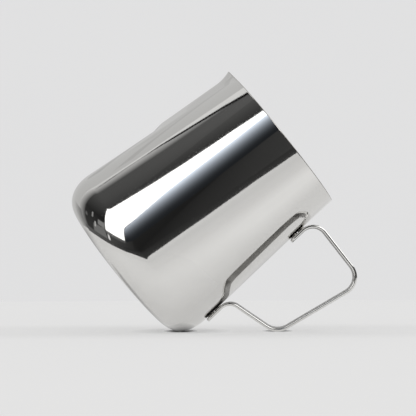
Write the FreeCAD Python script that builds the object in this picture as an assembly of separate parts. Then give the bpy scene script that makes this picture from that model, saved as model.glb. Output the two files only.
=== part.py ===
import FreeCAD, Part
import math
import os

from FreeCAD import Vector

# Milk frothing pitcher: a one-piece drawn steel cup with a pressed V spout, and a bent strip
# handle that is spot-welded to the wall. Millimetres. The cup stands on z = 0 with its axis on
# the Z axis, the handle points to +X and the spout to -X.

# --- Cup ---
HEIGHT = 105.0              # base to rim
RIM_RADIUS = 39.8           # outside, at the rim
WALL_TAPER = 0.0741         # radius gained per mm below the rim
WALL_BELLY = 0.00008        # extra radius gained per square mm below the rim
SHEET = 0.8                 # thickness of the steel sheet
CORNER_WIDTH = 11.8         # base corner: a quarter ellipse, this far across
CORNER_HEIGHT = 17.1        # and this far up the wall
PANEL_RADIUS = 29.0         # the raised middle of the base, at its foot
PANEL_RISE = 1.2
PANEL_SLOPE = 3.0           # width of the slope round the raised middle
RIM_ROUNDING = 0.3          # rounding of the two edges of the rim

# --- Spout ---
SPOUT_START = 53.5          # height where the pressed V begins
SPOUT_RISE_HEIGHT = 10.5    # the ridge comes up over this height
SPOUT_RISE = 1.5            # how far the ridge stands out once it is up
SPOUT_GROWTH = 0.7          # further gain from there to the rim
LIP_HEIGHT = 9.0            # the last stretch below the rim flares out to the pouring tip
LIP_FLARE = 1.9
FLANK_REACH = 1.12          # flank's reach round the wall; 1 is a straight flank that just touches it
RIDGE_ROUNDING = 0.14       # rounded part of the ridge, as a share of the flank's reach

# --- Handle: middle of the strip, distances from the cup's axis and heights ---
STRIP_WIDTH = 16.0
STRIP_THICKNESS = 1.8
STRIP_EDGE = 0.8            # rounding of the strip's long edges
FOOT_CORNER = 2.5           # rounding of the corners at the strip's two ends
FOOT_GAP = 0.3              # foot to wall; the welds fill it
LOWER_FOOT_END = 18.5
LOWER_BEND_HEIGHT = 33.0
LOWER_BEND_RADIUS = 6.3
LOWER_GRIP_REACH = 74.5
LOWER_GRIP_HEIGHT = 41.7
LOWER_GRIP_RADIUS = 9.8
UPPER_GRIP_REACH = 81.5
UPPER_GRIP_HEIGHT = 91.6
UPPER_GRIP_RADIUS = 8.6
UPPER_BEND_HEIGHT = 92.2
UPPER_BEND_RADIUS = 7.5
UPPER_FOOT_END = 76.0

# --- Spot welds ---
WELD_DIAMETER = 4.0
WELD_END_MARGIN = 3.0       # strip's end to the first weld
WELD_SPACING = 4.6          # between the two welds of a foot, along the strip

# --- Fineness of the cup's surfaces ---
COLUMNS = 144               # steering points round the cup
CORNER_ROWS = 14
PLAIN_STEP = 4.0            # height between rows on the plain wall
SPOUT_STEP = 1.5            # and along the spout

UP = Vector(0, 0, 1)
ACROSS = Vector(0, 1, 0)

os.makedirs("parts", exist_ok=True)


def smooth_step(value):
    """0 to 1 with level ends."""
    value = min(max(value, 0.0), 1.0)
    return value * value * (3.0 - 2.0 * value)


def wall_radius(z):
    """Outside radius of the plain wall."""
    below = HEIGHT - z
    return RIM_RADIUS + WALL_TAPER * below + WALL_BELLY * below * below


def wall_slope(z):
    """Radius that the wall gains per mm downwards."""
    return WALL_TAPER + 2.0 * WALL_BELLY * (HEIGHT - z)


def corner_point(turn):
    """Base corner, from the flat base at turn 0 to the wall at turn 90 degrees."""
    z = CORNER_HEIGHT * (1.0 - math.cos(turn))
    width = CORNER_WIDTH + wall_slope(CORNER_HEIGHT) * (CORNER_HEIGHT - z)
    inner = wall_radius(CORNER_HEIGHT) - CORNER_WIDTH
    return inner + width * math.sin(turn), z


def cup_profile():
    """Outside of the cup as (radius, height) points, from the flat base to the rim."""
    points = [corner_point(0.5 * math.pi * row / CORNER_ROWS) for row in range(CORNER_ROWS + 1)]
    plain_rows = round((SPOUT_START - CORNER_HEIGHT) / PLAIN_STEP)
    for row in range(1, plain_rows + 1):
        z = CORNER_HEIGHT + (SPOUT_START - CORNER_HEIGHT) * row / plain_rows
        points.append((wall_radius(z), z))
    spout_rows = round((HEIGHT - SPOUT_START) / SPOUT_STEP)
    for row in range(1, spout_rows + 1):
        z = SPOUT_START + (HEIGHT - SPOUT_START) * row / spout_rows
        points.append((wall_radius(z), z))
    return points


def offset_inwards(points, distance):
    """The profile moved into the cup, square to itself."""
    moved = []
    last = len(points) - 1
    for index, (radius, z) in enumerate(points):
        before = points[max(index - 1, 0)]
        after = points[min(index + 1, last)]
        along_r = after[0] - before[0]
        along_z = after[1] - before[1]
        if index == 0:
            along_r, along_z = 1.0, 0.0
        length = math.hypot(along_r, along_z)
        moved.append((radius - distance * along_z / length, z + distance * along_r / length))
    return moved


def spout_ridge(z):
    """How far the spout's ridge stands out from the plain wall."""
    full = SPOUT_START + SPOUT_RISE_HEIGHT
    rise = SPOUT_RISE * smooth_step((z - SPOUT_START) / SPOUT_RISE_HEIGHT)
    growth = SPOUT_GROWTH * max(z - full, 0.0) / (HEIGHT - full)
    flare = LIP_FLARE * (max(z - HEIGHT + LIP_HEIGHT, 0.0) / LIP_HEIGHT) ** 2
    return rise + growth + flare


def spout_gain(turn, z):
    """Radius that the spout adds to the wall, at a turn from the spout's middle."""
    ridge = spout_ridge(min(z, HEIGHT))
    if ridge <= 0.0:
        return 0.0
    radius = wall_radius(z)
    reach = FLANK_REACH * math.acos(radius / (radius + ridge))
    across = min(turn / reach, 1.0)
    rounded = math.hypot(across, RIDGE_ROUNDING) - RIDGE_ROUNDING
    fallen = rounded / (math.hypot(1.0, RIDGE_ROUNDING) - RIDGE_ROUNDING)
    return ridge * (1.0 - fallen) ** 2


def ring(radius, z):
    """Steering points round the cup at one height, just outside the curve that they make."""
    swell = 3.0 / (2.0 + math.cos(2.0 * math.pi / COLUMNS))
    points = []
    for column in range(COLUMNS):
        angle = 2.0 * math.pi * column / COLUMNS
        distance = swell * (radius + spout_gain(abs(angle - math.pi), z))
        points.append(Vector(distance * math.cos(angle), distance * math.sin(angle), z))
    return points


def solid_of_rings(profile):
    """A closed solid with a smooth cubic surface through the profile's rings and flat ends."""
    poles = [ring(radius, z) for radius, z in profile]
    rows = len(poles)
    row_knots = list(range(rows - 2))
    row_repeats = [4] + [1] * (rows - 4) + [4]
    column_knots = list(range(COLUMNS + 1))
    column_repeats = [1] * (COLUMNS + 1)
    surface = Part.BSplineSurface()
    surface.buildFromPolesMultsKnots(poles, row_repeats, column_repeats, row_knots, column_knots,
                                     False, True, 3, 3)
    side = surface.toShape()
    faces = [side]
    for edge in side.Edges:
        if edge.BoundBox.ZLength < 1e-6:
            faces.append(Part.Face(Part.Wire(edge)))
    shell = Part.makeShell(faces)
    shell.sewShape()
    return Part.makeSolid(shell)


def raised_panel(z):
    """The raised middle of the base, as a low cone that starts at a height."""
    top = PANEL_RADIUS - PANEL_SLOPE
    return Part.makeCone(PANEL_RADIUS, top, PANEL_RISE, Vector(0, 0, z), UP)


def pitcher_body():
    """The drawn cup: outside less inside, with the middle of the base pressed up."""
    outside = cup_profile()
    inside = offset_inwards(outside, SHEET)
    top_radius = inside[-1][0]
    inside = inside[:-1] + [(top_radius, HEIGHT), (top_radius, HEIGHT + SPOUT_STEP)]
    hollow = solid_of_rings(inside).cut(raised_panel(SHEET))
    cup = solid_of_rings(outside).cut(hollow).cut(raised_panel(0.0))
    rim = [edge for edge in cup.Edges if edge.BoundBox.ZMin > HEIGHT - 1e-3]
    return cup.makeFillet(RIM_ROUNDING, rim)


def foot_reach(z):
    """Middle of a foot's strip, from the cup's axis, at a height."""
    return wall_radius(z) + FOOT_GAP + STRIP_THICKNESS / 2.0


def handle_corners():
    """Corners of the handle's middle line as (reach, height, bend radius)."""
    return [
        (foot_reach(LOWER_FOOT_END), LOWER_FOOT_END, 0.0),
        (foot_reach(LOWER_BEND_HEIGHT), LOWER_BEND_HEIGHT, LOWER_BEND_RADIUS),
        (LOWER_GRIP_REACH, LOWER_GRIP_HEIGHT, LOWER_GRIP_RADIUS),
        (UPPER_GRIP_REACH, UPPER_GRIP_HEIGHT, UPPER_GRIP_RADIUS),
        (foot_reach(UPPER_BEND_HEIGHT), UPPER_BEND_HEIGHT, UPPER_BEND_RADIUS),
        (foot_reach(UPPER_FOOT_END), UPPER_FOOT_END, 0.0),
    ]


def bend(corner, before, after, radius, side):
    """Ends and middle of the arc round a corner, moved sideways from the strip's middle line."""
    to_before = (before - corner).normalize()
    to_after = (after - corner).normalize()
    half = to_before.getAngle(to_after) / 2.0
    middle = (to_before + to_after).normalize()
    centre = corner + middle * (radius / math.sin(half))
    centre_is_opposite = to_after.cross(to_before).dot(ACROSS) > 0.0
    size = radius + side if centre_is_opposite else radius - side
    start = corner + to_before * (radius / math.tan(half))
    end = corner + to_after * (radius / math.tan(half))
    return [centre + (point - centre).normalize() * size for point in (start, centre - middle, end)]


def strip_line(side):
    """One face line of the bent strip, moved sideways from its middle line, as edges."""
    corners = [(Vector(reach, -STRIP_WIDTH / 2.0, z), radius) for reach, z, radius in handle_corners()]
    points = [corner for corner, radius in corners]
    first = (points[1] - points[0]).normalize().cross(ACROSS) * side
    last = (points[-1] - points[-2]).normalize().cross(ACROSS) * side
    here = points[0] + first
    edges = []
    for index in range(1, len(points) - 1):
        start, middle, end = bend(points[index], points[index - 1], points[index + 1],
                                  corners[index][1], side)
        edges.append(Part.LineSegment(here, start).toShape())
        edges.append(Part.Arc(start, middle, end).toShape())
        here = end
    edges.append(Part.LineSegment(here, points[-1] + last).toShape())
    return edges


def handle():
    """The bent strip with its long edges and end corners rounded."""
    half = STRIP_THICKNESS / 2.0
    lines = [strip_line(half), strip_line(-half)]
    ends = []
    for index, pick in ((0, 0), (-1, -1)):
        tips = [edges[index].Vertexes[pick].Point for edges in lines]
        ends.append(Part.LineSegment(tips[0], tips[1]).toShape())
    wire = Part.Wire(Part.__sortEdges__(lines[0] + lines[1] + ends))
    strip = Part.Face(wire).extrude(ACROSS * STRIP_WIDTH)
    strip = strip.makeFillet(FOOT_CORNER, end_corner_edges(strip))
    return strip.makeFillet(STRIP_EDGE, long_edges(strip))


def end_corner_edges(strip):
    """Short edges through the strip's thickness at its two ends."""
    heights = (LOWER_FOOT_END, UPPER_FOOT_END)
    return [edge for edge in strip.Edges
            if abs(edge.Length - STRIP_THICKNESS) < 1e-3
            and min(abs(edge.CenterOfMass.z - z) for z in heights) < 0.2]


def long_edges(strip):
    """Every edge that lies in a side of the strip."""
    half = STRIP_WIDTH / 2.0
    return [edge for edge in strip.Edges
            if edge.BoundBox.YLength < 1e-3 and abs(abs(edge.CenterOfMass.y) - half) < 1e-3]


def weld_heights():
    """Heights of the spot welds: two to a foot, with the names of their nodes."""
    first = WELD_END_MARGIN
    second = WELD_END_MARGIN + WELD_SPACING
    return {
        "weld_lower_low": LOWER_FOOT_END + first,
        "weld_lower_high": LOWER_FOOT_END + second,
        "weld_upper_low": UPPER_FOOT_END + first,
        "weld_upper_high": UPPER_FOOT_END + second,
    }


def weld(z, strip):
    """A weld's nugget, which fills the gap between the foot and the wall."""
    square = Vector(1.0, 0, wall_slope(z)).normalize()
    margin = FOOT_GAP / 2.0
    start = Vector(wall_radius(z) - margin, 0, z)
    disc = Part.makeCylinder(WELD_DIAMETER / 2.0, FOOT_GAP + 2.0 * margin, start, square)
    low = z - WELD_DIAMETER
    high = z + WELD_DIAMETER
    wall = Part.makeCone(wall_radius(low), wall_radius(high), high - low, Vector(0, 0, low), UP)
    return disc.cut(wall).cut(strip)


def main():
    body = pitcher_body()
    strip = handle()
    nodes = {"pitcher_body": body, "handle": strip}
    for name, z in weld_heights().items():
        nodes[name] = weld(z, strip)
    for name, shape in nodes.items():
        print(name, shape.ShapeType, "valid", shape.isValid(), "volume %.1f" % shape.Volume,
              "solids", len(shape.Solids))
        shape.Solids[0].exportStep("parts/" + name + ".step")


main()
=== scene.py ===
import math

import bpy
from mathutils import Matrix, Vector


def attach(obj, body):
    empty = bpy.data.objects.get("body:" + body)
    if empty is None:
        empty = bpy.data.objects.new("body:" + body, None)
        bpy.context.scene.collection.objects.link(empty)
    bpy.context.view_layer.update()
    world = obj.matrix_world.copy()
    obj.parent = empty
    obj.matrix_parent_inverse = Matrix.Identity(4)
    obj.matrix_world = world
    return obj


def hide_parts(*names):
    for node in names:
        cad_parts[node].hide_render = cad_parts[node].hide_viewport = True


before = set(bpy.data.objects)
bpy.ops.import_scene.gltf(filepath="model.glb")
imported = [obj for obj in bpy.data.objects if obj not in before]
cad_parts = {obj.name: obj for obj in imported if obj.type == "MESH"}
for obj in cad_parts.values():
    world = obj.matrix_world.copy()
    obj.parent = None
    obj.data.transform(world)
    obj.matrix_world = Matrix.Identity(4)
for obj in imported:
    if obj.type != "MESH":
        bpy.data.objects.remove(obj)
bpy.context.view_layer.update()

# A polished steel milk frothing pitcher that leans on its base corner and its handle. Metres, in
# the CAD model's frame: the cup's axis on Z, the handle towards +X and the spout towards -X.

MM = 0.001

# --- Cup: the same shape as the CAD body ---
HEIGHT = 105.0 * MM
RIM_RADIUS = 39.8 * MM
WALL_TAPER = 0.0741
WALL_BELLY = 0.00008 / MM
SHEET = 0.8 * MM
CORNER_WIDTH = 11.8 * MM
CORNER_HEIGHT = 17.1 * MM
PANEL_RADIUS = 29.0 * MM
PANEL_RISE = 1.2 * MM
PANEL_SLOPE = 3.0 * MM
RIM_ROUNDING = 0.3 * MM
SPOUT_START = 53.5 * MM
SPOUT_RISE_HEIGHT = 10.5 * MM
SPOUT_RISE = 1.5 * MM
SPOUT_GROWTH = 0.7 * MM
LIP_HEIGHT = 9.0 * MM
LIP_FLARE = 1.9 * MM
FLANK_REACH = 1.12
RIDGE_ROUNDING = 0.14

# --- Handle strip ---
STRIP_WIDTH = 16.0 * MM
STRIP_THICKNESS = 1.8 * MM
STRIP_EDGE = 0.8 * MM
STRIP_CROWN = 0.04 * MM
FOOT_CORNER = 2.5 * MM
FOOT_END_EDGE = 0.4 * MM
FOOT_GAP = 0.3 * MM
LOWER_FOOT_END = 18.5 * MM
UPPER_FOOT_END = 76.0 * MM
BENDS = (                    # reach from the axis, height and bend radius; no reach: on the wall
    (None, 33.0 * MM, 6.3 * MM),
    (74.5 * MM, 41.7 * MM, 9.8 * MM),
    (81.5 * MM, 91.6 * MM, 8.6 * MM),
    (None, 92.2 * MM, 7.5 * MM),
)
BACK_FROM = 0.54 * MM        # the inner face begins this far inwards of the strip's middle; it is duller, with a dark tint that is painted shade
WELD_MARGIN = 3.0 * MM       # from a foot's end to the middle of its nearer weld
WELD_SPACING = 4.6 * MM
DIMPLE_RADIUS = 2.4 * MM     # marks that the welding tips press into the feet
DIMPLE_DEPTH = 0.12 * MM
DIMPLE_FLAT = 0.55           # share of the mark's radius that is flat

# --- How fine the meshes are: the smaller the step, the finer ---
CORNER_STEP = 2              # degrees
WALL_STEP = 1.4 * MM
SPOUT_STEP = 0.7 * MM
LIP_STEP = 0.3 * MM
ROUND_STEP = 1.0             # degrees round the cup
SPOUT_ROUND_STEP = 0.35
SPOUT_HALF_TURN = 34.0       # degrees from the spout's middle that need the finer step
RIM_SPANS = 8                # on each side of the rim
STRIP_STEP = 0.8 * MM
FOOT_STEP = 0.25 * MM
BEND_STEP = 2.5              # degrees
FACE_SPANS = 32              # across the strip
EDGE_SPANS = 6               # round each of its four edges


# ---------------------------------------------------------------- shapes of the cup

def smooth_step(value):
    value = min(max(value, 0.0), 1.0)
    return value * value * (3.0 - 2.0 * value)


def wall_radius(z):
    below = HEIGHT - z
    return RIM_RADIUS + WALL_TAPER * below + WALL_BELLY * below * below


def wall_slope(z):
    return WALL_TAPER + 2.0 * WALL_BELLY * (HEIGHT - z)


def corner_point(turn):
    """Base corner's outside, from the flat base at turn 0 to the wall at 90 degrees."""
    z = CORNER_HEIGHT * (1.0 - math.cos(turn))
    width = CORNER_WIDTH + wall_slope(CORNER_HEIGHT) * (CORNER_HEIGHT - z)
    inner = wall_radius(CORNER_HEIGHT) - CORNER_WIDTH
    return inner + width * math.sin(turn), z


def spout_ridge(z):
    """How far the spout's ridge stands out from the wall at a height."""
    full = SPOUT_START + SPOUT_RISE_HEIGHT
    rise = SPOUT_RISE * smooth_step((z - SPOUT_START) / SPOUT_RISE_HEIGHT)
    growth = SPOUT_GROWTH * max(z - full, 0.0) / (HEIGHT - full)
    flare = LIP_FLARE * (max(z - HEIGHT + LIP_HEIGHT, 0.0) / LIP_HEIGHT) ** 2
    return rise + growth + flare


def spout_gain(turn, z):
    """Radius that the pressed spout adds, at a turn from the spout's middle."""
    ridge = spout_ridge(z)
    if ridge <= 0.0:
        return 0.0
    radius = wall_radius(z)
    reach = FLANK_REACH * math.acos(radius / (radius + ridge))
    across = min(turn / reach, 1.0)
    rounded = math.hypot(across, RIDGE_ROUNDING) - RIDGE_ROUNDING
    fallen = rounded / (math.hypot(1.0, RIDGE_ROUNDING) - RIDGE_ROUNDING)
    return ridge * (1.0 - fallen) ** 2


def wall_step(z):
    if z > HEIGHT - LIP_HEIGHT - 1.0 * MM:
        return LIP_STEP
    if z > SPOUT_START - 2.0 * MM:
        return SPOUT_STEP
    return WALL_STEP


def wall_rows():
    """Outside of the wall from the flat base to just below the rim, as (radius, height)."""
    rows = [corner_point(math.radians(turn)) for turn in range(0, 91, CORNER_STEP)]
    z = CORNER_HEIGHT
    while z < HEIGHT - RIM_ROUNDING:
        z = min(z + wall_step(z), HEIGHT - RIM_ROUNDING)
        rows.append((wall_radius(z), z))
    return rows


def moved_inwards(rows, distance):
    """The rows moved square to the line that they make, which starts flat."""
    moved = []
    for index, (radius, z) in enumerate(rows):
        before = rows[max(index - 1, 0)]
        after = rows[min(index + 1, len(rows) - 1)]
        along_r = after[0] - before[0]
        along_z = after[1] - before[1]
        if index == 0:
            along_r, along_z = 1.0, 0.0
        length = math.hypot(along_r, along_z)
        moved.append((radius - distance * along_z / length, z + distance * along_r / length))
    return moved


def panel_rows(z):
    """The base from near its middle to the flat ring, with the middle pressed up."""
    rows = [(radius * MM, z + PANEL_RISE) for radius in (3.0, 8.0, 14.0, 19.0, 23.0)]
    edge = PANEL_RADIUS - PANEL_SLOPE
    for step in range(-3, 14):
        across = step / 10.0
        rows.append((edge + PANEL_SLOPE * across, z + PANEL_RISE * (1.0 - smooth_step(across))))
    rows.append((PANEL_RADIUS + 2.5 * MM, z))
    rows.append((PANEL_RADIUS + 4.5 * MM, z))
    return rows


def rim_rows():
    """Over the rim, from the outside to the inside."""
    rows = []
    top = wall_radius(HEIGHT)
    for step in range(1, RIM_SPANS + 1):
        turn = math.radians(90.0 * step / RIM_SPANS)
        rows.append((top - RIM_ROUNDING * (1.0 - math.cos(turn)),
                     HEIGHT - RIM_ROUNDING * (1.0 - math.sin(turn))))
    for step in range(0, RIM_SPANS + 1):
        turn = math.radians(90.0 * step / RIM_SPANS)
        rows.append((top - SHEET + RIM_ROUNDING * (1.0 - math.sin(turn)),
                     HEIGHT - RIM_ROUNDING * (1.0 - math.cos(turn))))
    return rows


def column_turns():
    """Turns round the cup from the spout's middle, closer together across the spout."""
    turns = [0.0]
    while turns[-1] < 180.0:
        step = SPOUT_ROUND_STEP if turns[-1] < SPOUT_HALF_TURN else ROUND_STEP
        turns.append(min(turns[-1] + step, 180.0))
    return turns + [-turn for turn in reversed(turns[1:-1])]


def new_object(name, vertices, faces, materials, body="root"):
    mesh = bpy.data.meshes.new(name)
    mesh.from_pydata(vertices, [], faces)
    mesh.validate()
    for material in materials:
        mesh.materials.append(material)
    for polygon in mesh.polygons:
        polygon.use_smooth = True
    made = bpy.data.objects.new(name, mesh)
    bpy.context.scene.collection.objects.link(made)
    if body:
        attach(made, body)
    return made


def ring_faces(rings, count):
    """Faces between neighbouring rings of vertices, each ring with the same count."""
    faces = []
    for ring in range(rings - 1):
        for column in range(count):
            right = (column + 1) % count
            faces.append((ring * count + column, (ring + 1) * count + column,
                          (ring + 1) * count + right, ring * count + right))
    return faces


def cup(materials):
    """The cup as one closed skin: base, wall, rim, inside wall and inside base."""
    under_base = panel_rows(0.0)
    outside = wall_rows()
    rim = rim_rows()
    inside = moved_inwards(outside, SHEET)
    rows = under_base + outside + rim + inside[::-1] + panel_rows(SHEET)[::-1]
    turns = column_turns()
    count = len(turns)
    vertices = []
    for radius, z in rows:
        for turn in turns:
            angle = math.pi - math.radians(turn)
            distance = radius + spout_gain(math.radians(abs(turn)), min(z, HEIGHT))
            vertices.append((distance * math.cos(angle), distance * math.sin(angle), z))
    faces = ring_faces(len(rows), count)
    middle = len(vertices)
    vertices.append((0.0, 0.0, PANEL_RISE))
    vertices.append((0.0, 0.0, SHEET + PANEL_RISE))
    last = (len(rows) - 1) * count
    for column in range(count):
        right = (column + 1) % count
        faces.append((middle, column, right))
        faces.append((middle + 1, last + right, last + column))
    made = new_object("cup", vertices, faces, materials)
    rim_from = (len(under_base) + len(outside) - 1) * count
    inside_from = (len(under_base) + len(outside) + len(rim)) * count
    # The rim's faces take the rim steel, whose dark tint paints a dark line along the rim; the inside
    # takes the satin steel.
    for polygon in made.data.polygons:
        first = min(polygon.vertices)
        if first >= rim_from:
            polygon.material_index = 2 if first < inside_from else 1
    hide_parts("pitcher_body")
    return made


# ---------------------------------------------------------------- handle

def foot_reach(z):
    """From the axis to the middle of the strip's thickness, where it lies along the wall."""
    return wall_radius(z) + FOOT_GAP + STRIP_THICKNESS / 2.0


def handle_line():
    """Middle line of the strip as points in the XZ plane with its direction there."""
    corners = [(Vector((foot_reach(LOWER_FOOT_END), LOWER_FOOT_END)), 0.0)]
    for reach, z, radius in BENDS:
        corners.append((Vector((reach or foot_reach(z), z)), radius))
    corners.append((Vector((foot_reach(UPPER_FOOT_END), UPPER_FOOT_END)), 0.0))
    line = []
    here = corners[0][0]
    for index in range(1, len(corners)):
        corner, radius = corners[index]
        way = (corner - corners[index - 1][0]).normalized()
        cut = 0.0
        if radius:
            onwards = (corners[index + 1][0] - corner).normalized()
            turn = way.angle_signed(onwards)
            cut = radius * math.tan(abs(turn) / 2.0)
        end = corner - way * cut
        in_foot = index in (1, len(corners) - 1)
        steps = max(2, math.ceil((end - here).length / (FOOT_STEP if in_foot else STRIP_STEP)))
        for step in range(steps):
            line.append((here.lerp(end, step / steps), way))
        here = end
        if radius:
            side = Vector((way.y, -way.x)) * (1.0 if turn > 0.0 else -1.0)
            centre = end + side * radius
            steps = max(6, math.ceil(abs(turn) / math.radians(BEND_STEP)))
            for step in range(steps):
                spin = Matrix.Rotation(-turn * step / steps, 2)
                line.append((centre + spin @ (end - centre), spin @ way))
            here = corner + onwards * cut
    line.append((here, way))
    return line


def strip_section(half_width, half_thickness, rounding):
    """Points round the strip's section as (across, outwards), with slightly crowned faces."""
    points = []
    flat = half_width - rounding

    def crowned(across):
        return half_thickness - STRIP_CROWN * (across / half_width) ** 2

    edge_top = crowned(flat)
    for face in (1.0, -1.0):
        for step in range(FACE_SPANS + 1):
            across = face * flat * (1.0 - 2.0 * step / FACE_SPANS)
            points.append((across, face * crowned(across)))
        for step in range(1, EDGE_SPANS):
            turn = math.radians(90.0 * step / EDGE_SPANS)
            points.append((-face * (flat + rounding * math.sin(turn)),
                           face * (edge_top - rounding * (1.0 - math.cos(turn)))))
        points.append((-face * half_width, 0.0))
        points.append((-face * half_width, -face * (edge_top - rounding)))
        for step in range(1, EDGE_SPANS):
            turn = math.radians(90.0 * step / EDGE_SPANS)
            points.append((-face * (flat + rounding * math.cos(turn)),
                           -face * (edge_top - rounding * (1.0 - math.sin(turn)))))
    return points


def rounded_off(radius, from_end):
    """What a rounding of this radius takes off a side, at a distance from the strip's end."""
    missing = max(radius - from_end, 0.0)
    return radius - math.sqrt(radius ** 2 - missing ** 2)


def dimple(distance):
    """Depth of a welding tip's mark at a distance from its middle."""
    over = (distance / DIMPLE_RADIUS - DIMPLE_FLAT) / (1.0 - DIMPLE_FLAT)
    return DIMPLE_DEPTH * (1.0 - smooth_step(over))


def handle(materials):
    """The strip as one closed skin along its middle line, with a rounded foot at each end."""
    line = handle_line()
    lengths = [0.0]
    for (before, _), (after, _) in zip(line, line[1:]):
        lengths.append(lengths[-1] + (after - before).length)
    welds = (WELD_MARGIN, WELD_MARGIN + WELD_SPACING)
    vertices = []
    for (point, way), length in zip(line, lengths):
        from_end = min(length, lengths[-1] - length)
        half_width = STRIP_WIDTH / 2.0 - rounded_off(FOOT_CORNER, from_end)
        half_thickness = STRIP_THICKNESS / 2.0 - rounded_off(FOOT_END_EDGE, from_end)
        outwards = Vector((way.y, -way.x))
        rounding = min(STRIP_EDGE, half_thickness * 0.9)
        for across, out in strip_section(half_width, half_thickness, rounding):
            if out > 0.0:
                out -= dimple(min(math.hypot(from_end - weld, across) for weld in welds))
            place = point + outwards * out
            vertices.append((place.x, across, place.y))
    plain = strip_section(STRIP_WIDTH / 2.0, STRIP_THICKNESS / 2.0, STRIP_EDGE)
    count = len(plain)
    faces = [(a, d, c, b) for a, b, c, d in ring_faces(len(line), count)]
    sides = len(faces)
    last = (len(line) - 1) * count
    faces.append(tuple(range(count - 1, -1, -1)))
    faces.append(tuple(range(last, last + count)))
    made = new_object("handle_strip", vertices, faces, materials)
    # The inner face takes the darker strip steel, whose tint is painted shade between strip and cup.
    inner = [index for index, (_, out) in enumerate(plain) if out < -BACK_FROM]
    for polygon in made.data.polygons[:sides]:
        if min(inner) <= polygon.index % count < max(inner):
            polygon.material_index = 1
    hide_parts("handle")
    return made


# ---------------------------------------------------------------- materials

class Nodes:
    """Short calls for building one node tree."""

    def __init__(self, name):
        self.material = bpy.data.materials.new(name)
        self.material.use_nodes = True
        self.tree = self.material.node_tree
        self.tree.nodes.clear()
        self.output = self.tree.nodes.new("ShaderNodeOutputMaterial")

    def node(self, kind, **values):
        """A new node; each value sets a property of that name, or else the input socket."""
        made = self.tree.nodes.new(kind)
        for key, value in values.items():
            if hasattr(made, key):
                setattr(made, key, value)
            else:
                made.inputs[key.replace("_", " ")].default_value = value
        return made

    def link(self, source, target):
        self.tree.links.new(source, target)

    def ramp(self, source, low, high, from_value, to_value):
        """source from low to high becomes from_value to to_value."""
        made = self.node("ShaderNodeMapRange", From_Min=low, From_Max=high,
                         To_Min=from_value, To_Max=to_value)
        self.link(source, made.inputs["Value"])
        return made.outputs["Result"]

    def stretched_noise(self, scale, stretch, detail):
        """Noise in object space; a small number in stretch draws it out along that axis."""
        place = self.node("ShaderNodeTexCoord")
        mapping = self.node("ShaderNodeMapping", Scale=stretch)
        self.link(place.outputs["Object"], mapping.inputs["Vector"])
        noise = self.node("ShaderNodeTexNoise", Scale=scale, Detail=detail)
        self.link(mapping.outputs["Vector"], noise.inputs["Vector"])
        return noise.outputs["Fac"]

    def blend(self, low, high, factor):
        """The colour between two colours or colour outputs."""
        made = self.node("ShaderNodeMix", data_type="RGBA")
        for socket, colour in (("A", low), ("B", high)):
            if isinstance(colour, tuple):
                made.inputs[socket].default_value = (*colour, 1.0)
            else:
                self.link(colour, made.inputs[socket])
        self.link(factor, made.inputs["Factor"])
        return made.outputs["Result"]


WAVE_SCALE = 34.0            # noise scales, per metre: soft waves of the sheet
RIPPLE_SCALE = 600.0         # short ripples that the polishing leaves
LINE_SCALE = 1400.0          # fine lines
CLOUD_SCALE = 90.0           # patches of tint and of roughness


def steel(name, colour, roughness, waves, ripples, lines, stretch):
    """Stainless steel: waves, ripples and lines of these depths, and a slightly uneven tint."""
    nodes = Nodes(name)
    shader = nodes.node("ShaderNodeBsdfPrincipled", Metallic=1.0)
    nodes.link(shader.outputs["BSDF"], nodes.output.inputs["Surface"])
    wide = nodes.stretched_noise(WAVE_SCALE, (1.0, 1.0, 0.6), 2.0)
    short = nodes.stretched_noise(RIPPLE_SCALE, stretch, 2.0)
    fine = nodes.stretched_noise(LINE_SCALE, stretch, 3.0)
    cloud = nodes.stretched_noise(CLOUD_SCALE, (1.0, 1.0, 0.7), 3.0)
    darker = tuple(part * 0.97 for part in colour)
    lighter = tuple(min(part * 1.02, 1.0) for part in colour)
    nodes.link(nodes.blend(darker, lighter, cloud), shader.inputs["Base Color"])
    rough = nodes.node("ShaderNodeMath", operation="ADD")
    nodes.link(nodes.ramp(fine, 0.35, 0.75, roughness * 0.8, roughness * 1.3), rough.inputs[0])
    nodes.link(nodes.ramp(cloud, 0.3, 0.7, 0.0, roughness * 0.3), rough.inputs[1])
    nodes.link(rough.outputs["Value"], shader.inputs["Roughness"])
    last = None
    for height, depth in ((wide, waves), (short, ripples), (fine, lines)):
        bump = nodes.node("ShaderNodeBump", Strength=1.0, Distance=depth)
        nodes.link(height, bump.inputs["Height"])
        if last:
            nodes.link(last.outputs["Normal"], bump.inputs["Normal"])
        last = bump
    nodes.link(last.outputs["Normal"], shader.inputs["Normal"])
    return nodes.material


# ---------------------------------------------------------------- stage and light

# The pitcher leans, so the floor is a slanted plane in its frame. RIGHT runs along the floor
# across the view, AWAY runs along it from the camera and FLOOR_UP stands square on it.
FLOOR_TILT = math.radians(51.63)
FLOOR_UP = Vector((-math.sin(FLOOR_TILT), 0.0, math.cos(FLOOR_TILT)))
FLOOR_HEIGHT = -31.75 * MM
AWAY = Vector((-0.029, 0.999, -0.037))
AWAY = (AWAY - FLOOR_UP * AWAY.dot(FLOOR_UP)).normalized()
RIGHT = AWAY.cross(FLOOR_UP)

STAGE_SIDE = 900             # millimetres from the frame's origin to the stage's edges
STAGE_FRONT = -430
STAGE_BACK = 485
WALL_TOP = 900

STEEL_SHARE = 0.745          # share of the light that the polished steel sends on
STUDIO_LIGHT = 0.82          # brightness of the pale room
SELF_GLOW_SHARE = 0.72           # share of the floor's and wall's brightness that they give off themselves as painted light, which nothing shades
STUDIO_MIDDLE = (30.0, -10.0, 75.0)

WHITE = (1.0, 1.0, 1.0)
COOL = (0.9, 1.0, 1.15)
SHADOW = (0.012, 0.012, 0.012)
MIRRORED_SHADOW = (0.02, 0.02, 0.02)


def on_stage(right, away, up):
    """A stage point, in millimetres from the foot of the frame's origin on the floor."""
    return RIGHT * right * MM + AWAY * away * MM + FLOOR_UP * (up * MM + FLOOR_HEIGHT)


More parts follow.
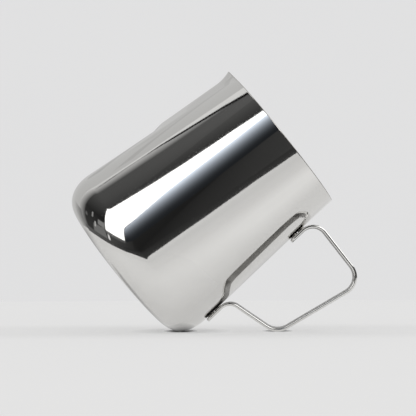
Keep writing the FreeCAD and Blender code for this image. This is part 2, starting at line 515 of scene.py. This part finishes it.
def on_dome(turn, lift, distance):
    """A point round the pitcher: turn 0 is towards the camera and 90 to its right, in degrees."""
    turn, lift = math.radians(turn), math.radians(lift)
    return on_stage(STUDIO_MIDDLE[0] + distance * math.sin(turn) * math.cos(lift),
                    STUDIO_MIDDLE[1] - distance * math.cos(turn) * math.cos(lift),
                    STUDIO_MIDDLE[2] + distance * math.sin(lift))


def one_sided(nodes, surface):
    """The surface from its front, and nothing from its back."""
    side = nodes.node("ShaderNodeNewGeometry")
    clear = nodes.node("ShaderNodeBsdfTransparent")
    mix = nodes.node("ShaderNodeMixShader")
    nodes.link(side.outputs["Backfacing"], mix.inputs["Fac"])
    nodes.link(surface, mix.inputs[1])
    nodes.link(clear.outputs["BSDF"], mix.inputs[2])
    nodes.link(mix.outputs["Shader"], nodes.output.inputs["Surface"])


def plaster(name, colour):
    """Matt pale floor or wall with a trace of unevenness, which partly glows by itself as painted
    light.
    """
    nodes = Nodes(name)
    shader = nodes.node("ShaderNodeBsdfDiffuse")
    glowing = nodes.node("ShaderNodeEmission", Strength=STUDIO_LIGHT)
    tone = nodes.stretched_noise(6.0, (1.0, 1.0, 1.0), 2.0)
    paint = nodes.blend(tuple(part * 0.985 for part in colour), colour, tone)
    nodes.link(paint, shader.inputs["Color"])
    nodes.link(paint, glowing.inputs["Color"])
    mix = nodes.node("ShaderNodeMixShader", Fac=SELF_GLOW_SHARE)
    nodes.link(shader.outputs["BSDF"], mix.inputs[1])
    nodes.link(glowing.outputs["Emission"], mix.inputs[2])
    one_sided(nodes, mix.outputs["Shader"])
    return nodes.material


def light_for(grey, tint=WHITE):
    """The light that shows in the steel as this grey of 0 to 255, by the sRGB curve."""
    share = grey / 255.0
    linear = share / 12.92 if share < 0.04045 else ((share + 0.055) / 1.055) ** 2.4
    return tuple(linear / STEEL_SHARE * part for part in tint)


def glow(name, corner_lights, curve, power):
    """A card's light, blended from low left, low right, high right and high left."""
    low_left, low_right, high_right, high_left = corner_lights
    nodes = Nodes(name)
    place = nodes.node("ShaderNodeUVMap")
    split = nodes.node("ShaderNodeSeparateXYZ")
    nodes.link(place.outputs["UV"], split.inputs["Vector"])
    rise = nodes.node("ShaderNodeMath", operation="POWER")
    nodes.link(split.outputs["Y"], rise.inputs[0])
    rise.inputs[1].default_value = curve
    low = nodes.blend(low_left, low_right, split.outputs["X"])
    high = nodes.blend(high_left, high_right, split.outputs["X"])
    light = nodes.node("ShaderNodeEmission", Strength=power)
    nodes.link(nodes.blend(low, high, rise.outputs["Value"]), light.inputs["Color"])
    nodes.link(light.outputs["Emission"], nodes.output.inputs["Surface"])
    return nodes.material


def staged(name, place_at, steps, material, in_view):
    """A stage sheet: place_at gives its point at a share across and a share up, 0 to 1."""
    vertices = [place_at(i / steps, j / steps)
                for j in range(steps + 1) for i in range(steps + 1)]
    faces = []
    for j in range(steps):
        for i in range(steps):
            k = j * (steps + 1) + i
            faces.append((k, k + 1, k + steps + 2, k + steps + 1))
    made = new_object(name, vertices, faces, [material], body=None)
    layer = made.data.uv_layers.new(name="card")
    for loop in made.data.loops:
        row, column = divmod(loop.vertex_index, steps + 1)
        layer.data[loop.index].uv = (column / steps, row / steps)
    if not in_view:
        made.visible_camera = False
        made.visible_diffuse = False
        made.visible_shadow = False
    return made


def between(corners, u, v):
    """The point between four corners at a share across and a share up."""
    low_left, low_right, high_right, high_left = corners
    return low_left.lerp(low_right, u).lerp(high_left.lerp(high_right, u), v)


def sheet(name, corners, material):
    return staged(name, lambda u, v: between(corners, u, v), 8, material, in_view=True)


def dome_card(name, corners, greys, distance=520, curve=1.0, tint=WHITE, power=1.0):
    """A card on a dome round the pitcher, between four directions of (turn, lift).

    It shows only in the steel, as these greys at its corners. A nearer card hides a farther one.
    """
    corners = [Vector(corner) for corner in corners]

    def place_at(u, v):
        way = between(corners, u, v)
        return on_dome(way.x, way.y, distance)

    light = glow(name + "_light", [light_for(grey, tint) for grey in greys], curve, power)
    return staged(name, place_at, 24, light, in_view=False)


def dome_line(name, points, half_widths, grey):
    """A thin curved card through directions on the dome, with half its width at each of them."""
    spans = zip(points, points[1:], half_widths, half_widths[1:])
    for index, ((a, low_a), (b, low_b), half_a, half_b) in enumerate(spans):
        corners = [(a, low_a - half_a), (b, low_b - half_b), (b, low_b + half_b), (a, low_a + half_a)]
        dome_card(f"{name}_{index}", corners, (grey,) * 4, 430)


def pool(name, middle, reach, colour, depth, full=0.75, in_view=False, lift=0.3):
    """A soft-edged patch of light or shade on the floor; middle and reach are (right, away).

    In its middle it covers the floor by the share depth. From its edge it grows to that over the
    share full of its reach.
    """
    nodes = Nodes(name + "_light")
    place = nodes.node("ShaderNodeUVMap")
    centred = nodes.node("ShaderNodeMapping", Location=(-1.0, -1.0, 0.0), Scale=(2.0, 2.0, 1.0))
    nodes.link(place.outputs["UV"], centred.inputs["Vector"])
    round_fall = nodes.node("ShaderNodeTexGradient", gradient_type="SPHERICAL")
    nodes.link(centred.outputs["Vector"], round_fall.inputs["Vector"])
    share = nodes.ramp(round_fall.outputs["Fac"], 0.0, full, 0.0, depth)
    clear = nodes.node("ShaderNodeBsdfTransparent")
    light = nodes.node("ShaderNodeEmission", Color=(*colour, 1.0))
    mix = nodes.node("ShaderNodeMixShader")
    nodes.link(share, mix.inputs["Fac"])
    nodes.link(clear.outputs["BSDF"], mix.inputs[1])
    nodes.link(light.outputs["Emission"], mix.inputs[2])
    one_sided(nodes, mix.outputs["Shader"])
    (right, away), (x, y) = middle, reach

    def place_at(u, v):
        return on_stage(right + x * (2.0 * u - 1.0), away + y * (2.0 * v - 1.0), lift)

    return staged(name, place_at, 2, nodes.material, in_view)


def touch_point(piece):
    """Where the piece touches the floor, as (right, away) in millimetres."""
    places = (vertex.co for vertex in piece.data.vertices)
    lowest = min(places, key=lambda place: place.dot(FLOOR_UP))
    return lowest.dot(RIGHT) / MM, lowest.dot(AWAY) / MM


def floor_and_wall():
    floor_paint = plaster("floor_paint", (0.95, 0.948, 0.946))
    wall_paint = plaster("wall_paint", (0.93, 0.93, 0.935))
    near_left = on_stage(-STAGE_SIDE, STAGE_FRONT, 0)
    near_right = on_stage(STAGE_SIDE, STAGE_FRONT, 0)
    far_left = on_stage(-STAGE_SIDE, STAGE_BACK, 0)
    far_right = on_stage(STAGE_SIDE, STAGE_BACK, 0)
    top_left = on_stage(-STAGE_SIDE, STAGE_BACK, WALL_TOP)
    top_right = on_stage(STAGE_SIDE, STAGE_BACK, WALL_TOP)
    sheet("floor", [near_left, near_right, far_right, far_left], floor_paint)
    sheet("wall", [far_left, far_right, top_right, top_left], wall_paint)


def dark_room():
    """Ceiling and walls in front of the pitcher: the dark bands in the steel."""
    dome_card("ceiling_left", [(-101, 46), (-50, 46), (-50, 68), (-84, 66.5)], (68, 58, 90, 80))
    dome_card("ceiling_right", [(-50, 46), (40, 46), (40, 84), (-50, 68)], (50, 48, 90, 84))
    dome_card("ceiling_fade", [(-119, 46), (-101, 46), (-84, 66.5), (-114, 56)],
              (190, 74, 80, 165))
    dome_line("ceiling_line",
              ((-72, 68.5), (-87, 66), (-92, 65), (-100, 62.4), (-106, 59.3), (-111, 56.5),
               (-115, 53), (-114, 50), (-112, 47)),
              (1.3, 1.2, 1.3, 1.7, 1.6, 1.3, 1.4, 1.5, 0.8), 22)
    dome_card("wall_left_high", [(-105, 24), (-57, 24), (-57, 46), (-101, 46)], (40, 26, 60, 68))
    dome_card("wall_left_low", [(-105, -10), (-57, -10), (-57, 24), (-105, 24)],
              (50, 60, 26, 40))
    dome_card("wall_fade", [(-122, -10), (-105, -10), (-101, 46), (-119, 46)],
              (150, 50, 70, 190))
    dome_card("wall_front", [(-57, -12), (-10, -12), (-10, 46), (-57, 46)], (70, 38, 46, 58))
    dome_card("wall_middle", [(-10, -12), (0, -12), (0, 24), (-10, 24)], (38, 28, 26, 28))
    dome_card("wall_right", [(0, -12), (36, -12), (36, 30), (0, 30)], (26, 62, 110, 50),
              curve=2.0)
    dome_card("wall_far_right", [(36, -12), (112, -12), (112, 22), (36, 22)], (56, 40, 60, 70))


def softboxes():
    """The white band, the cool shade beside it and its dull lower end."""
    dome_card("softbox_low", [(-57, 7.5), (-23.5, 5), (-21.5, 24), (-56, 24)],
              (253, 253, 253, 253), 450, power=1.5)
    dome_card("softbox_high", [(-56, 24), (-21.5, 24), (0, 46.5), (-55.5, 42.5)],
              (253, 253, 253, 253), 450, power=1.5)
    dome_card("softbox_side", [(-22.5, 3), (8, 17), (8, 56), (-20.5, 30)],
              (34, 30, 238, 250), 445, curve=2.6, tint=COOL)
    dome_card("softbox_foot", [(-57, 2), (-24, 0), (-23, 5), (-57.5, 7.5)],
              (80, 46, 100, 120), 453)


def low_fronts():
    """Low dark fronts before the pitcher, which end the dark bands at the floor."""
    dome_card("apron_left", [(-112, -13), (-25, -13.5), (-25, -7), (-112, -7)],
              (90, 50, 44, 90), 310)
    dome_card("apron_right", [(-25, -13.5), (45, -11), (45, -5), (-25, -7)],
              (42, 55, 45, 36), 310)
    dome_card("front_stand", [(-25, -13), (6, -15.5), (6, -9), (-25, -9)],
              (50, 50, 44, 50), 280)


def small_windows():
    """Small bright things in the dark room, which the base corner mirrors."""
    for name, corners, grey, distance in (
            ("window_a", [(-86, 14), (-83, 14), (-82, 22), (-85, 22)], 140, 455),
            ("window_b", [(-83, 2), (-80, 2), (-77, 10), (-80, 10)], 170, 455),
            ("window_c", [(-57.5, -8), (-54, -8), (-52, 4), (-55.5, 4)], 205, 455),
            ("window_d", [(-92, -11), (-59, -11), (-59, 9), (-84, 6)], 105, 456),
            ("window_e", [(-103, 9), (-97, 9), (-97, 14), (-101, 14)], 88, 455),
            ("window_f", [(-73, 9), (-58, 9), (-58, 17), (-71, 17)], 120, 455)):
        dome_card(name, corners, (grey,) * 4, distance)


def pale_sides():
    """Pale room to the left and behind, with streaks, and a light to the upper right."""
    dome_card("left_haze", [(-180, -12), (-119, -12), (-119, 70), (-180, 70)],
              (182, 166, 178, 184), 400)
    dome_card("left_haze_low", [(-140, -12), (-112, -12), (-114, 8), (-138, 8)],
              (175, 105, 110, 170), 395)
    dome_card("left_patch", [(-176, 29), (-153, 30), (-150, 38), (-174, 38)],
              (178, 172, 172, 178), 396)
    dome_card("left_streak_high", [(-180, 34), (-128, 44), (-128, 47), (-180, 37)],
              (172, 165, 165, 172), 394)
    dome_card("left_streak_low", [(-180, 8), (-150, 24), (-150, 28), (-180, 12)],
              (176, 160, 160, 176), 394)
    dome_card("right_light", [(16, 22), (112, 22), (112, 62), (16, 50)],
              (253, 253, 253, 253), 450, power=1.5)


def floor_patches(cup_piece, handle_piece):
    """Sheens and shades that the lower body mirrors, and the shadows under the touching points."""
    pool("sheen_left", (-54, -120), (125, 105), light_for(214), 0.4)
    pool("sheen_right", (150, -78), (190, 62), light_for(217), 0.85)
    pool("shade_front", (150, -230), (220, 90), light_for(180), 0.35)
    pool("shade_back", (-60, 230), (270, 230), light_for(140), 0.95)
    pool("shade_left", (-16, 0), (48, 27), light_for(120), 0.8)
    for name, piece, reach, depth in (("cup_contact", cup_piece, (9, 18), 1.0),
                                      ("cup_shade", cup_piece, (26, 34), 0.15),
                                      ("floor_shade", cup_piece, (420, 75), 0.045),
                                      ("handle_contact", handle_piece, (8, 12), 0.7)):
        shade = pool(name, touch_point(piece), reach, SHADOW, depth, full=0.55, in_view=True,
                     lift=0.15)
        shade.visible_glossy = False
    pool("cup_contact_mirrored", touch_point(cup_piece), (9, 18), MIRRORED_SHADOW, 0.9, lift=0.1)


def pale_world():
    world = bpy.data.worlds.new("studio")
    bpy.context.scene.world = world
    world.use_nodes = True
    back = world.node_tree.nodes["Background"]
    back.inputs["Color"].default_value = (STUDIO_LIGHT, STUDIO_LIGHT, STUDIO_LIGHT, 1.0)
    back.inputs["Strength"].default_value = 1.0


# ---------------------------------------------------------------- camera

CAMERA_PLACE = (0.04406, -0.76224, 0.06823)
CAMERA_TURN = 3.0            # degrees round the cup's axis, from square on the handle's plane
CAMERA_PITCH = -1.08
CAMERA_ROLL = 51.35          # levels the leaning pitcher's floor in the picture
CAMERA_LENS = 130.6          # millimetres, for a sensor 36 mm wide
CAMERA_SHIFT = 0.0012


def place_camera():
    """A long lens level with the pitcher, rolled so that the leaning pitcher's floor is level."""
    pitch = math.radians(CAMERA_PITCH)
    roll = math.radians(CAMERA_ROLL)
    level = Vector((1.0, 0.0, 0.0))
    ahead = Vector((0.0, math.cos(pitch), math.sin(pitch)))
    above = level.cross(ahead)
    right = math.cos(roll) * level + math.sin(roll) * above
    up = -math.sin(roll) * level + math.cos(roll) * above
    turned = Matrix.Rotation(math.radians(CAMERA_TURN), 3, "Z")
    right, up, ahead = turned @ right, turned @ up, turned @ ahead
    data = bpy.data.cameras.new("camera")
    data.lens = CAMERA_LENS
    data.sensor_width = 36.0
    data.shift_x = -CAMERA_SHIFT
    data.shift_y = CAMERA_SHIFT
    data.clip_start = 0.05
    data.clip_end = 10.0
    made = bpy.data.objects.new("camera", data)
    bpy.context.scene.collection.objects.link(made)
    axes = Matrix((right, up, -ahead)).transposed()
    made.matrix_world = Matrix.Translation(CAMERA_PLACE) @ axes.to_4x4()
    bpy.context.scene.camera = made


# ---------------------------------------------------------------- the whole scene

all_ways = (1.0, 1.0, 1.0)
lines_round = (0.04, 0.04, 1.0)
lines_across_strip = (1.0, 0.03, 1.0)
mirror_tint = (0.755, 0.748, 0.729)
polished = steel("polished_steel", mirror_tint, roughness=0.05, waves=0.12 * MM,
                 ripples=0.005 * MM, lines=0.0005 * MM, stretch=lines_round)
satin = steel("satin_steel", (0.74, 0.735, 0.72), roughness=0.26, waves=0.1 * MM,
              ripples=0.004 * MM, lines=0.002 * MM, stretch=lines_round)
strip_steel = steel("strip_steel", mirror_tint, roughness=0.12, waves=0.08 * MM,
                    ripples=0.001 * MM, lines=0.0006 * MM, stretch=lines_across_strip)
# The strip's inner face: a duller finish, and a dark tint that is painted shade between the strip and
# the cup.
strip_back_shaded = steel("strip_back_steel", (0.34, 0.335, 0.325), roughness=0.38, waves=0.08 * MM,
                   ripples=0.003 * MM, lines=0.002 * MM, stretch=lines_across_strip)
# Rounded edge of the rim: a dull finish, and a dark tint that is a painted dark reflection, a thin
# dark line along the rim where it would mirror a highlight.
rim_steel = steel("rim_edge_steel", (0.36, 0.34, 0.32), roughness=0.3, waves=0.05 * MM,
                  ripples=0.003 * MM, lines=0.002 * MM, stretch=lines_round)
weld_steel = steel("weld_steel", (0.52, 0.50, 0.47), roughness=0.42, waves=0.1 * MM,
                   ripples=0.04 * MM, lines=0.006 * MM, stretch=all_ways)

cup_piece = cup([polished, satin, rim_steel])
handle_piece = handle([strip_steel, strip_back_shaded])
for name in ("weld_lower_low", "weld_lower_high", "weld_upper_low", "weld_upper_high"):
    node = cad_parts[name]
    node.data.materials.clear()
    node.data.materials.append(weld_steel)

floor_and_wall()
dark_room()
softboxes()
low_fronts()
small_windows()
pale_sides()
floor_patches(cup_piece, handle_piece)
pale_world()
place_camera()
bpy.context.scene.view_settings.view_transform = "Standard"
bpy.context.view_layer.update()
